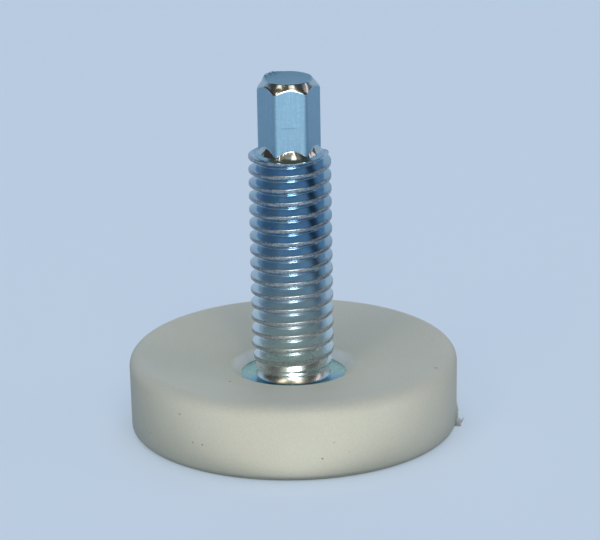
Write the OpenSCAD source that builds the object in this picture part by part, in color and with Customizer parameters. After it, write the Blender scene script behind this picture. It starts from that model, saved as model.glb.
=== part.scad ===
// Leveling foot: a threaded steel stud that swivels in a moulded plastic pad.
// The origin is on the floor under the middle of the pad, and +Z runs up the stud.
// The gate side of the pad faces +X, and the thread is right-handed.

/* [Pad] */
// Diameter of the pad at its rim
pad_d = 37.5; // [30:0.5:60]
// Height of the rim above the floor
pad_h = 8.95; // [8:0.05:14]
// Radius lost by the side wall between the rim and the floor, as mould draft
pad_draft = 0.13; // [0:0.01:0.4]
// Radius of the edge round the top
rim_edge_r = 1.5; // [0.6:0.1:2]
// Radius of the edge round the underside
floor_edge_r = 0.75; // [0.3:0.05:1.2]
// Fall of the dished top from the rim to the mouth
dish_depth = 1.7; // [0.6:0.1:2.4]

/* [Mouth of the pad] */
// Diameter of the lip that holds the flange down
lip_bore_d = 11.9; // [11:0.1:12.3]
// Height of the lead-in above the lip, cut at 45 degrees
lead_in_h = 0.95; // [0.5:0.05:1.5]
// Radius that softens the upper edge of the lead-in
mouth_edge_r = 1.8; // [0.1:0.1:2]

/* [Gate stub] */
// Width of the broken sprue gate left on the side wall
gate_w = 3.6; // [2:0.1:5]
// Height of the stub
gate_h = 1.4; // [0.8:0.1:1.8]
// Distance that the stub stands out of the side wall
gate_out = 0.15; // [0.05:0.05:0.6]
// Height of the middle of the stub above the floor
gate_z = 1.4; // [1.3:0.1:4]
// Direction of the stub from +X, seen from above
gate_angle = -1; // [-45:1:45]
// Distance that the torn flash at its near corner stands out
flash_out = 0.75; // [0.2:0.05:1]
// Thickness of the flash
flash_t = 0.25; // [0.15:0.05:0.4]
// Height of the flash
flash_h = 0.9; // [0.4:0.1:1.2]

/* [Flange] */
// Diameter of the flange at the foot of the stud
flange_d = 12.8; // [12.5:0.1:16]
// Thickness of the flange
flange_t = 2; // [1.2:0.1:3]
// Chamfer under the flange that lets it snap past the lip
flange_chamfer = 0.5; // [0.2:0.1:1]
// Running clearance round the flange in its pocket
swivel_gap = 0.1; // [0.02:0.01:0.1]
// End play between the flange and the lip above it
end_play = 0.05; // [0.02:0.01:0.1]

/* [Thread] */
// Outside diameter of the thread, a 3/8 inch 16 UNC
thread_d = 9.38; // [9:0.02:9.5]
// Distance between turns, 16 to the inch
thread_pitch = 1.5875; // [1.2:0.0125:1.8]
// Depth of the thread from crest to root
thread_depth = 0.95; // [0.7:0.01:1]
// Width of the flat along the crest
crest_flat = 0.2; // [0.1:0.01:0.3]
// Length over which the thread runs out towards the flange
run_out_l = 2.2; // [1:0.1:4]
// Radius lost by the crest at the end of the run-out
run_out_drop = 0.36; // [0.1:0.02:0.5]
// Length of the plain neck between the flange and the last crest
neck_l = 0.7; // [0.3:0.1:3]
// Radius of the hollow flare from the neck to the flange
neck_flare_r = 1.6; // [1:0.1:2.4]
// Diameter of the flare where it meets the flange
neck_foot_d = 8.6; // [8:0.1:9]

/* [Drive end] */
// Length of the stud above the flange
stud_l = 35.15; // [25:0.05:70]
// Size of the hexagon across its flats
hex_af = 6.32; // [5:0.01:6.5]
// Length of the hexagon
hex_l = 7.7; // [4:0.05:12]
// Radius along the corners of the hexagon
hex_corner_r = 0.6; // [0.1:0.05:0.8]
// Turn of the hexagon about the stud
hex_turn = 3.3; // [-30:0.1:30]
// Diameter of the flat face at the tip
tip_d = 5.4; // [3.5:0.1:5.6]
// Slope of the tip chamfer from level
tip_angle = 51; // [30:1:60]
// Slope from level of the cone under the hexagon
shoulder_angle = 61; // [40:1:65]
// Diameter of the foot of that cone, on the end face of the thread
shoulder_d = 7.24; // [7:0.02:8]
// Slope from level of the end face of the thread
thread_end_angle = 8; // [0:1:20]

/* [Hidden] */

$fn = 96;
plastic = [0.83, 0.82, 0.74];
zinc = [0.68, 0.72, 0.75];

// Standard 60 degree thread form
flank_angle = 30;
steps_per_turn = 24;

// Heights up the pad, with the flange seated on the floor of its pocket
mouth_z = pad_h - dish_depth;
lip_z = mouth_z - lead_in_h;
flange_top_z = lip_z - end_play;
flange_bottom_z = flange_top_z - flange_t;

// Heights up the stud
tip_z = flange_top_z + stud_l;
hex_z = tip_z - hex_l;
hex_flat_r = hex_af / 2;
thread_r = thread_d / 2;
root_r = thread_r - thread_depth;
shoulder_r = shoulder_d / 2;
shoulder_z = hex_z - (shoulder_r - hex_flat_r) * tan(shoulder_angle);
thread_top_z = shoulder_z - (thread_r - shoulder_r) * tan(thread_end_angle);
run_out_r = thread_r - run_out_drop;
neck_foot_r = neck_foot_d / 2;
neck_top_z = flange_top_z + neck_l;
last_crest_z = neck_top_z + (run_out_r - root_r) * tan(flank_angle);
run_out_top_z = last_crest_z + run_out_l;

// Corner of the hexagon, before and after it is rounded
hex_sharp_r = hex_flat_r / cos(30);
hex_corner_in = hex_corner_r / cos(30);

// The thread cut reaches this far past the crest, and clears the blank by this much at its end
cut_past = 0.3;
cut_clear = 0.08;

// The hexagon is rooted this deep in the shoulder, and the gate stub in the side wall
hex_root = 0.5;
gate_root = 1;

// The torn flash hangs this far above the floor
flash_floor_gap = 0.1;

// Points along an arc, as [radius, height] pairs
function arc(centre, r, from, to, steps = 16) = [
    for (i = [0 : steps])
        let (a = from + (to - from) * i / steps)
        centre + r * [cos(a), sin(a)]
];

// ---- Pad ----

// The dish runs straight from the mouth to the rim's edge, which meets it smoothly
rim_c = [pad_d / 2 - rim_edge_r, pad_h - rim_edge_r];
mouth_r = lip_bore_d / 2 + lead_in_h;
dish_run = [rim_c.x - mouth_r, rim_c.y - mouth_z];
dish_angle = atan2(dish_run.y, dish_run.x) + asin(rim_edge_r / norm(dish_run));

// The mouth's edge is tangent to the dish and to the lead-in below it
mouth_tangent = mouth_edge_r * tan((45 - dish_angle) / 2);
mouth_c = [mouth_r, mouth_z]
    + mouth_tangent * [cos(dish_angle), sin(dish_angle)]
    + mouth_edge_r * [sin(dish_angle), -cos(dish_angle)];

floor_c = [pad_d / 2 - pad_draft - floor_edge_r, floor_edge_r];

module pad_section() {
    pocket_r = flange_d / 2 + swivel_gap;
    polygon(concat(
        [[0, 0]],
        arc(floor_c, floor_edge_r, -90, 0),
        arc(rim_c, rim_edge_r, 0, 90 + dish_angle),
        arc(mouth_c, mouth_edge_r, 90 + dish_angle, 135, 6),
        [
            [lip_bore_d / 2, lip_z],
            [pocket_r, lip_z],
            [pocket_r, flange_bottom_z],
            [0, flange_bottom_z],
        ]
    ));
}

// What is left of the gate where the pad was broken off its sprue
module gate_stub() {
    inner = pad_d / 2 - gate_root;
    rotate([0, 0, gate_angle])
        translate([inner, -gate_w / 2, 0]) {
            translate([0, 0, gate_z - gate_h / 2])
                cube([gate_root + gate_out, gate_w, gate_h]);
            translate([0, 0, flash_floor_gap])
                cube([gate_root + flash_out, flash_t, flash_h]);
        }
}

module pad() {
    color(plastic)
        union() {
            rotate_extrude() pad_section();
            gate_stub();
        }
}

// ---- Stud ----

// The flare swings out from the neck as it comes down, and meets the flange at an angle
flare_end = acos(1 - (neck_foot_r - root_r) / neck_flare_r);
flare_c = [root_r + neck_flare_r, flange_top_z + neck_flare_r * sin(flare_end)];
flare_start = asin(max(0, min(sin(flare_end) - 0.05, (flare_c.y - neck_top_z) / neck_flare_r)));

// The turned blank, up to the shoulder that carries the hexagon
module blank_section() {
    flange_r = flange_d / 2;
    polygon([
        [0, flange_bottom_z],
        [flange_r - flange_chamfer, flange_bottom_z],
        [flange_r, flange_bottom_z + flange_chamfer],
        [flange_r, flange_top_z],
        each arc(flare_c, neck_flare_r, 180 + flare_end, 180 + flare_start, 8),
        [run_out_r, last_crest_z],
        [thread_r, run_out_top_z],
        [thread_r, thread_top_z],
        [shoulder_r, shoulder_z],
        [hex_flat_r, hex_z],
        [0, hex_z],
    ]);
}

// Radius of the root at height z: along the run-out it rises until the cut leaves the blank
function root_at(z) =
    let (left = max(0, min(1, (run_out_top_z - z) / run_out_l)))
    root_r + (run_out_r + cut_clear - root_r) * (1 - cos(90 * left));

// Section of the cut at height z, as [radius, height] pairs
function cut_section(z) =
    let (
        inner = root_at(z),
        outer = thread_r + cut_past,
        root_half = (thread_pitch - crest_flat) / 2 - thread_depth * tan(flank_angle),
        outer_half = root_half + (outer - inner) * tan(flank_angle)
    )
    [
        [outer, z - outer_half],
        [inner, z - root_half],
        [inner, z + root_half],
        [outer, z + outer_half],
    ];

// The groove between the turns of thread, wound up from behind the last crest
module thread_cut() {
    turns = ceil((thread_top_z - last_crest_z) / thread_pitch) + 1;
    steps = turns * steps_per_turn;
    points = [
        for (i = [0 : steps])
            let (turn = i / steps_per_turn, a = 90 + 360 * turn)
            for (p = cut_section(last_crest_z + turn * thread_pitch))
                [p.x * cos(a), p.x * sin(a), p.y]
    ];
    sides = [
        for (i = [0 : steps - 1], j = [0 : 3])
            let (k = (j + 1) % 4)
            each [
                [4 * i + j, 4 * (i + 1) + j, 4 * (i + 1) + k],
                [4 * i + j, 4 * (i + 1) + k, 4 * i + k],
            ]
    ];
    last = 4 * steps;
    ends = [[0, 1, 2], [0, 2, 3], [last + 2, last + 1, last], [last + 3, last + 2, last]];
    polyhedron(points = points, faces = concat(sides, ends), convexity = 20);
}

// Outline of the hexagon with its corners rounded
module hex_outline() {
    polygon([
        for (corner = [0 : 5])
            each arc((hex_sharp_r - hex_corner_in) * [cos(60 * corner), sin(60 * corner)],
                hex_corner_r, 60 * corner - 30, 60 * corner + 30, 6)
    ]);
}

// The hexagon reaches down into the shoulder, and a cone chamfers its tip
module hex_drive() {
    tip_r = tip_d / 2;
    corner_r = hex_sharp_r - hex_corner_in + hex_corner_r;
    base_z = hex_z - (corner_r - hex_flat_r) * tan(shoulder_angle) - hex_root;
    reach_r = hex_sharp_r;
    intersection() {
        rotate([0, 0, hex_turn])
            translate([0, 0, base_z]) linear_extrude(tip_z - base_z) hex_outline();
        rotate_extrude()
            polygon([
                [0, base_z],
                [reach_r, base_z],
                [reach_r, tip_z - (reach_r - tip_r) * tan(tip_angle)],
                [tip_r, tip_z],
                [0, tip_z],
            ]);
    }
}

module stud() {
    color(zinc)
        union() {
            difference() {
                rotate_extrude() blank_section();
                thread_cut();
            }
            hex_drive();
        }
}

pad();
stud();
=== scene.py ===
"""The finished look of a leveling foot: a zinc-plated stud that swivels in a moulded plastic pad.

Both pieces are modelled with Blender's operators in millimetres and handed over in metres, in the
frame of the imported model. The pad's middle stands on the floor at the origin, and the stud rises
along +Z out of the pad's dished top.
"""
from __future__ import annotations

import functools
import logging
import math
from dataclasses import dataclass, field
from enum import Enum
from typing import Any, Callable, Iterable, Sequence

import bmesh
import bpy
from mathutils import Matrix, Vector, noise

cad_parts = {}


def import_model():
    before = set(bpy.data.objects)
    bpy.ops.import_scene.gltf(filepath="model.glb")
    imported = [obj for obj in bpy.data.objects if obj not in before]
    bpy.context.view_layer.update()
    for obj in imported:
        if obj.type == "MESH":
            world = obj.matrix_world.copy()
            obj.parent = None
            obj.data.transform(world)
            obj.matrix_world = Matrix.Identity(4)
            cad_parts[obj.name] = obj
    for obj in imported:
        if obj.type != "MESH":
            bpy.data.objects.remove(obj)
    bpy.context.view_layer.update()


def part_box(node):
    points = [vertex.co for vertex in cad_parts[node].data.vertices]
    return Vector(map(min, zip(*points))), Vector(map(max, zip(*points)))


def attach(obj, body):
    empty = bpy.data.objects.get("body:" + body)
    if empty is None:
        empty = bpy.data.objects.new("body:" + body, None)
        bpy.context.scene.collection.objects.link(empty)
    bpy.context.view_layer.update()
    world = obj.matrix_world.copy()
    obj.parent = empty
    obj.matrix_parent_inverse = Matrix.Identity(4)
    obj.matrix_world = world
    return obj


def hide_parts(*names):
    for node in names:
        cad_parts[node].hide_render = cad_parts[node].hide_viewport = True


log = logging.getLogger("leveling_foot")

# In metres: one millimetre, and the height that the lamps face.
MM = 0.001
AIM_HEIGHT = 0.018

# In millimetres: points nearer than this are one, how far off a ring an edge may lie, and the gap
# between the flange and the lip over it.
MERGE_DISTANCE = 0.00005
RING_TOLERANCE = 0.02
LIP_GAP = 0.01

# Edges that turn by more than this, in degrees, stay sharp.
SHARP_ANGLE = 30.0

Outline = list[tuple[float, float]]
Span = tuple[float, float]
Socket = bpy.types.NodeSocket


class Solve(Enum):
    """What is kept when two closed meshes are combined."""

    JOIN = "UNION"
    SHARED = "INTERSECT"


class Part(Enum):
    """What is picked in edit mode."""

    POINTS = "VERT"
    EDGES = "EDGE"
    FACES = "FACE"


# ---------------------------------------------------------------------------------------------
# Modelling by hand
# ---------------------------------------------------------------------------------------------


def arc(centre: tuple[float, float], radius: float, start: float, end: float, steps: int) -> Outline:
    """Points along an arc in the plane of radius and height.

    Args:
        centre: Middle of the arc.
        radius: Radius of the arc.
        start: First angle, in degrees.
        end: Last angle, in degrees.
        steps: How many chords stand in for the arc.

    Returns:
        The points, as (radius, height) pairs.
    """
    points = []
    for i in range(steps + 1):
        angle = math.radians(start + (end - start) * i / steps)
        points.append((centre[0] + radius * math.cos(angle), centre[1] + radius * math.sin(angle)))
    return points


def soft_min(a: float, b: float, blend: float) -> float:
    """The smaller of two lengths, with the corner between them rounded off.

    Args:
        a: One length.
        b: The other.
        blend: How near each other they are where the rounding starts.

    Returns:
        The rounded minimum.
    """
    overlap = max(blend - abs(a - b), 0.0) / blend
    return min(a, b) - overlap * overlap * blend / 4


def smooth_step(value: float, start: float, end: float) -> float:
    """0 up to start, 1 from end on, and smooth between them."""
    t = min(max((value - start) / (end - start), 0.0), 1.0)
    return t * t * (3 - 2 * t)


def slope_of(angle: float) -> float:
    """How far a line at an angle, in degrees, rises for each unit that it runs."""
    return math.tan(math.radians(angle))


def corner_cut(radius: float, turn: float) -> float:
    """How far from a corner a rounding starts, where the outline turns by so many degrees."""
    return radius * math.tan(math.radians(turn) / 2)


def off_axis(azimuth: float, radius: float) -> tuple[float, float]:
    """The x and y at a radius and an azimuth, in radians from the -Y side towards +X."""
    return radius * math.sin(azimuth), -radius * math.cos(azimuth)


def around(point: Vector) -> tuple[float, float]:
    """A point's radius and its azimuth, in degrees from the -Y side towards +X."""
    return math.hypot(point.x, point.y), math.degrees(math.atan2(point.x, -point.y))


def turn_between(azimuth: float, other: float) -> float:
    """The smaller angle between two azimuths, in degrees."""
    return abs((azimuth - other + 180) % 360 - 180)


def clear_bench() -> None:
    """Leave edit mode and deselect everything, ready for the next primitive."""
    if bpy.context.object is not None and bpy.context.object.mode != "OBJECT":
        bpy.ops.object.mode_set(mode="OBJECT")
    bpy.ops.object.select_all(action="DESELECT")


@dataclass(frozen=True)
class Unevenness:
    """How uneven a press, a shear or a drawing die leaves a surface.

    Attributes:
        depth: How far the surface is pushed in or out, in millimetres.
        grain: Distance over which it changes, in millimetres.
        streak: How many times longer the marks are upwards than across.
    """

    depth: float
    grain: float
    streak: float = 1.0


class Workpiece:
    """One mesh on the bench, in millimetres, that operators shape in edit mode."""

    def __init__(self, name: str) -> None:
        """Take the primitive that was just added.

        Args:
            name: The name that the finished piece keeps.
        """
        self.obj = bpy.context.object
        self.obj.name = name
        self.obj.data.name = name

    def activate(self) -> None:
        """Make this piece the only selected and active object, in object mode."""
        clear_bench()
        self.obj.select_set(True)
        bpy.context.view_layer.objects.active = self.obj

    def edit(self) -> None:
        """Go into edit mode with nothing selected."""
        self.activate()
        bpy.ops.object.mode_set(mode="EDIT")
        bpy.ops.mesh.select_all(action="DESELECT")

    def pick(self, kind: Part, test: Callable[[Any], bool]) -> int:
        """Select only the parts of one kind that pass a test.

        Args:
            kind: The kind that is picked.
            test: Says whether a part is picked.

        Returns:
            How many parts were picked.
        """
        bpy.ops.mesh.select_mode(type=kind.value)
        bpy.ops.mesh.select_all(action="DESELECT")
        mesh = bmesh.from_edit_mesh(self.obj.data)
        picked = [part for part in getattr(mesh, f"{kind.value.lower()}s") if test(part)]
        for part in picked:
            part.select_set(True)
        mesh.select_flush_mode()
        bmesh.update_edit_mesh(self.obj.data)
        return len(picked)

    def pick_ring(self, radius: float, height: float) -> int:
        """Select the edges that lie on a level circle round the axis.

        Args:
            radius: Radius of the circle.
            height: Height of the circle.

        Returns:
            How many edges were picked.
        """

        def is_on(end: bmesh.types.BMVert) -> bool:
            """Whether an end of an edge lies on the circle."""
            off = max(abs(around(end.co)[0] - radius), abs(end.co.z - height))
            return off < RING_TOLERANCE

        return self.pick(Part.EDGES, lambda edge: all(is_on(end) for end in edge.verts))

    def extrude(self, move: Sequence[float]) -> None:
        """Extrude what is selected and move it."""
        bpy.ops.mesh.extrude_region_move(TRANSFORM_OT_translate={"value": tuple(move)})

    def round_off(self, offset: float, segments: int) -> None:
        """Bevel the selected edges to a round profile."""
        bpy.ops.mesh.bevel(offset=offset, segments=segments, profile=0.5, affect="EDGES")

    def combine(self, tool: Workpiece, how: Solve) -> None:
        """Combine this piece with another, which is used up.

        Args:
            tool: The other piece.
            how: What is kept of the two.
        """
        self.activate()
        solve = self.obj.modifiers.new("combine", "BOOLEAN")
        solve.operation = how.value
        solve.solver = "MANIFOLD"
        solve.object = tool.obj
        bpy.ops.object.modifier_apply(modifier=solve.name)
        bpy.data.objects.remove(tool.obj, do_unlink=True)

    def reshape(self, move: Callable[[Vector], Vector]) -> None:
        """Move every point.

        Args:
            move: Takes a point and gives its new place.
        """
        self.activate()
        for vertex in self.obj.data.vertices:
            vertex.co = move(vertex.co)
        self.obj.data.update()

    def batter(self, marks: Unevenness, where: Callable[[Vector], float]) -> None:
        """Leave a surface uneven.

        Args:
            marks: How uneven it becomes.
            where: How much of that a point takes, from 0 to 1.
        """
        self.activate()
        vertices = self.obj.data.vertices
        normals = [vertex.normal.copy() for vertex in vertices]
        squeeze = Vector((1, 1, 1 / marks.streak)) / marks.grain
        for vertex, normal in zip(vertices, normals):
            share = where(vertex.co)
            if share > 0:
                vertex.co += normal * (noise.noise(vertex.co * squeeze) * marks.depth * share)
        self.obj.data.update()

    def tidy(self) -> None:
        """Merge doubles and turn every face outwards."""
        self.edit()
        bpy.ops.mesh.select_all(action="SELECT")
        bpy.ops.mesh.remove_doubles(threshold=MERGE_DISTANCE)
        bpy.ops.mesh.normals_make_consistent(inside=False)
        bpy.ops.object.mode_set(mode="OBJECT")

    def hand_over(self) -> bpy.types.Object:
        """Smooth the shading, weigh the normals by area and turn millimetres into metres.

        Returns:
            The finished object, at the origin and unscaled.
        """
        self.activate()
        bpy.ops.object.shade_smooth_by_angle(angle=math.radians(SHARP_ANGLE))
        weigh = self.obj.modifiers.new("weigh", "WEIGHTED_NORMAL")
        weigh.keep_sharp = True
        bpy.ops.object.modifier_apply(modifier=weigh.name)
        self.obj.data.transform(Matrix.Scale(MM, 4))
        return self.obj


class Turning(Workpiece):
    """A round piece grown upwards from a flat disc, as on a lathe."""

    def __init__(self, name: str, radius: float, height: float, sides: int) -> None:
        """Lay the first disc.

        Args:
            name: Name of the piece.
            radius: Radius of the disc.
            height: Height of the disc.
            sides: How many straight sides stand in for the circle.
        """
        clear_bench()
        bpy.ops.mesh.primitive_circle_add(vertices=sides, radius=radius, fill_type="NGON")
        super().__init__(name)
        self.radius = radius
        self.height = height
        self.edit()
        bpy.ops.mesh.select_all(action="SELECT")
        bpy.ops.transform.translate(value=(0, 0, height))

    def grow(self, radius: float, height: float) -> None:
        """Extrude the top disc.

        Args:
            radius: Its new radius.
            height: Its new height.
        """
        self.extrude((0, 0, height - self.height))
        factor = radius / self.radius
        bpy.ops.transform.resize(value=(factor, factor, 1), center_override=(0, 0, height))
        self.radius = radius
        self.height = height

    def follow(self, outline: Iterable[tuple[float, float]]) -> None:
        """Grow along an outline of (radius, height) points."""
        for radius, height in outline:
            self.grow(radius, height)

    def ramp(self, radius: float, height: float, steps: int) -> None:
        """Grow in a straight line.

        Args:
            radius: Radius at the end of the line.
            height: Height at the end of the line.
            steps: How many equal rings the line is cut into.
        """
        first_r, first_z = self.radius, self.height
        for i in range(1, steps + 1):
            share = i / steps
            self.grow(first_r + (radius - first_r) * share, first_z + (height - first_z) * share)


# ---------------------------------------------------------------------------------------------
# Shader nodes
# ---------------------------------------------------------------------------------------------


class Signal:
    """A number that varies over a surface: a socket whose arithmetic adds Math nodes."""

    def __init__(self, board: Board, socket: Socket) -> None:
        """Wrap a socket.

        Args:
            board: The node board that the socket is on.
            socket: The output socket that carries the number.
        """
        self.board = board
        self.socket = socket

    def math(self, operation: str, *operands: Operand) -> Signal:
        """Add one Math node.

        Args:
            operation: The Math node's operation.
            operands: What its sockets take, in order.

        Returns:
            The node's result.
        """
        inputs = dict(enumerate(operands))
        return self.board.signal("ShaderNodeMath", {"operation": operation}, inputs)

    def __add__(self, other: Operand) -> Signal:
        """Add a number or another signal."""
        return self.math("ADD", self, other)

    def __radd__(self, other: Operand) -> Signal:
        """Add this signal to a number."""
        return self.math("ADD", other, self)

    def __sub__(self, other: Operand) -> Signal:
        """Subtract a number or another signal."""
        return self.math("SUBTRACT", self, other)

    def __rsub__(self, other: Operand) -> Signal:
        """Subtract this signal from a number."""
        return self.math("SUBTRACT", other, self)

    def __mul__(self, other: Operand) -> Signal:
        """Multiply by a number or another signal."""
        return self.math("MULTIPLY", self, other)

    def __rmul__(self, other: Operand) -> Signal:
        """Multiply a number by this signal."""
        return self.math("MULTIPLY", other, self)

    def __truediv__(self, other: Operand) -> Signal:
        """Divide by a number or another signal."""
        return self.math("DIVIDE", self, other)

    def __pow__(self, exponent: Operand) -> Signal:
        """Raise to a power."""
        return self.math("POWER", self, exponent)

    def __abs__(self) -> Signal:
        """Drop the sign."""
        return self.math("ABSOLUTE", self)

    def at_least(self, other: Operand) -> Signal:
        """The larger of this signal and another."""
        return self.math("MAXIMUM", self, other)

    def at_most(self, other: Operand) -> Signal:
        """The smaller of this signal and another."""
        return self.math("MINIMUM", self, other)

    def fade(self, start: float, end: float) -> Signal:
        """Turn this signal into a smooth step: 0 at start, 1 at end.

        Args:
            start: Where the step begins. It may be above end.
            end: Where the step is complete.

        Returns:
            The step.
        """
        low, high = min(start, end), max(start, end)
        step = self.board.signal(
            "ShaderNodeMapRange",
            {"interpolation_type": "SMOOTHSTEP"},
            {"Value": self, "From Min": low, "From Max": high},
            "Result",
        )
        return step if start < end else 1.0 - step


Operand = Signal | float | int
Colour = tuple[float, float, float]


class Board:
    """A node tree, with one method for every node that is not arithmetic."""

    def __init__(self, tree: bpy.types.NodeTree) -> None:
        """Take a node tree and clear it."""
        self.tree = tree
        tree.nodes.clear()

    def node(
        self,
        kind: str,
        settings: dict[str, Any] | None = None,
        inputs: dict[str | int, Any] | None = None,
    ) -> bpy.types.Node:
        """Add one node.

        Args:
            kind: The node's type.
            settings: Its settings, which are set first.
            inputs: Numbers, colours, sockets or signals, by the name or number of the input socket.

        Returns:
            The node.
        """
        node = self.tree.nodes.new(kind)
        for name, value in (settings or {}).items():
            setattr(node, name, value)
        for name, value in (inputs or {}).items():
            socket = node.inputs[name]
            if isinstance(value, Signal):
                self.tree.links.new(value.socket, socket)
            elif isinstance(value, Socket):
                self.tree.links.new(value, socket)
            elif isinstance(value, tuple) and socket.type == "RGBA" and len(value) == 3:
                socket.default_value = (*value, 1.0)
            else:
                socket.default_value = value
        return node

    def signal(
        self,
        kind: str,
        settings: dict[str, Any] | None = None,
        inputs: dict[str | int, Any] | None = None,
        output: str | int = 0,
    ) -> Signal:
        """Add one node and wrap one of its outputs as a number."""
        return Signal(self, self.node(kind, settings, inputs).outputs[output])

    @functools.cached_property
    def place(self) -> Socket:
        """Where a point is on the object, in metres."""
        return self.node("ShaderNodeTexCoord").outputs["Object"]

    @functools.cached_property
    def xyz(self) -> tuple[Signal, ...]:
        """Where a point is on the object, as three numbers in millimetres."""
        return tuple(part / MM for part in self.split(self.place))

    @functools.cached_property
    def radius(self) -> Signal:
        """How far a point is from the object's axis, in millimetres."""
        x, y, _ = self.xyz
        return (x * x + y * y) ** 0.5

    def vector(self, operation: str, inputs: dict[str | int, Any], output: str | int = 0) -> Socket:
        """Add one Vector Math node."""
        return self.node("ShaderNodeVectorMath", {"operation": operation}, inputs).outputs[output]

    def gap(self, a: Any, b: Any) -> Signal:
        """Distance between two places."""
        return Signal(self, self.vector("DISTANCE", {0: a, 1: b}, "Value"))

    def split(self, vector: Socket) -> tuple[Signal, Signal, Signal]:
        """Take a vector apart into its three numbers."""
        parts = self.node("ShaderNodeSeparateXYZ", None, {0: vector})
        return tuple(Signal(self, parts.outputs[i]) for i in range(3))

    def noise(
        self,
        scale: float,
        detail: float = 2.0,
        roughness: float = 0.5,
        vector: Socket | None = None,
    ) -> Signal:
        """Smooth noise between 0 and 1, around a half.

        Args:
            scale: How many lumps there are to a metre.
            detail: How many finer layers are laid over it.
            roughness: How strong the finer layers are.
            vector: Where the noise is read, if not at the point's own place.

        Returns:
            The noise.
        """
        where = self.place if vector is None else vector
        inputs = {"Vector": where, "Scale": scale, "Detail": detail, "Roughness": roughness}
        return self.signal("ShaderNodeTexNoise", None, inputs)

    def mix(self, factor: Operand, a: Any, b: Any) -> Socket:
        """Mix two colours: a where the factor is 0, b where it is 1."""
        settings = {"data_type": "RGBA", "clamp_factor": True}
        return self.node("ShaderNodeMix", settings, {0: factor, 6: a, 7: b}).outputs[2]

    def bump(self, height: Signal, distance: float, strength: float) -> Socket:
        """Turn a height into a bumped normal.

        Args:
            height: The height, in units of the distance.
            distance: How many metres one unit of height is.
            strength: How much of the bump shows.

        Returns:
            The normal.
        """
        inputs = {"Height": height, "Distance": distance, "Strength": strength}
        return self.node("ShaderNodeBump", None, inputs).outputs["Normal"]

    def finish(self, shader: bpy.types.Node, output: str = "ShaderNodeOutputMaterial") -> None:
        """Send a shader to the output."""
        self.node(output, None, {"Surface": shader.outputs[0]})


def new_board(name: str) -> tuple[bpy.types.Material, Board]:
    """Start a material.

    Args:
        name: The material's name.

    Returns:
        The material and its empty board.
    """
    material = bpy.data.materials.new(name)
    material.use_nodes = True
    return material, Board(material.node_tree)


def coat(piece: bpy.types.Object, material: bpy.types.Material) -> None:
    """Make a material the only one on a piece."""
    piece.data.materials.clear()
    piece.data.materials.append(material)


# ---------------------------------------------------------------------------------------------
# Finishes
# ---------------------------------------------------------------------------------------------


@dataclass(frozen=True)
class Speck:
    """A dark fleck in the plastic, placed round the pad in millimetres and degrees."""

    azimuth: float
    radius: float
    height: float
    size: float
    strength: float

    @property
    def middle(self) -> tuple[float, float, float]:
        """Its middle, in metres."""
        return (*off_axis(math.radians(self.azimuth), self.radius * MM), self.height * MM)

    def distance(self, board: Board) -> Signal:
        """Distance of a point from its middle, in millimetres."""
        return board.gap(board.place, self.middle) / MM


@dataclass(frozen=True)
class Scratch:
    """A rubbed line between two places on the plastic."""

    start: Speck
    end: Speck

    @property
    def size(self) -> float:
        """Width of the line in millimetres."""
        return self.start.size

    @property
    def strength(self) -> float:
        """How dark the line is, from 0 to 1."""
        return self.start.strength

    def distance(self, board: Board) -> Signal:
        """Measure how far a point is from the line.

        Args:
            board: The board that the nodes go on.

        Returns:
            The distance, in millimetres.
        """
        start = Vector(self.start.middle)
        along = Vector(self.end.middle) - start
        direction = tuple(along.normalized())
        offset = board.vector("SUBTRACT", {0: board.place, 1: tuple(start)})
        run = Signal(board, board.vector("DOT_PRODUCT", {0: offset, 1: direction}, "Value"))
        reach = run.at_least(0.0).at_most(along.length)
        foot = board.vector("SCALE", {0: direction, "Scale": reach})
        return board.gap(offset, foot) / MM


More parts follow.
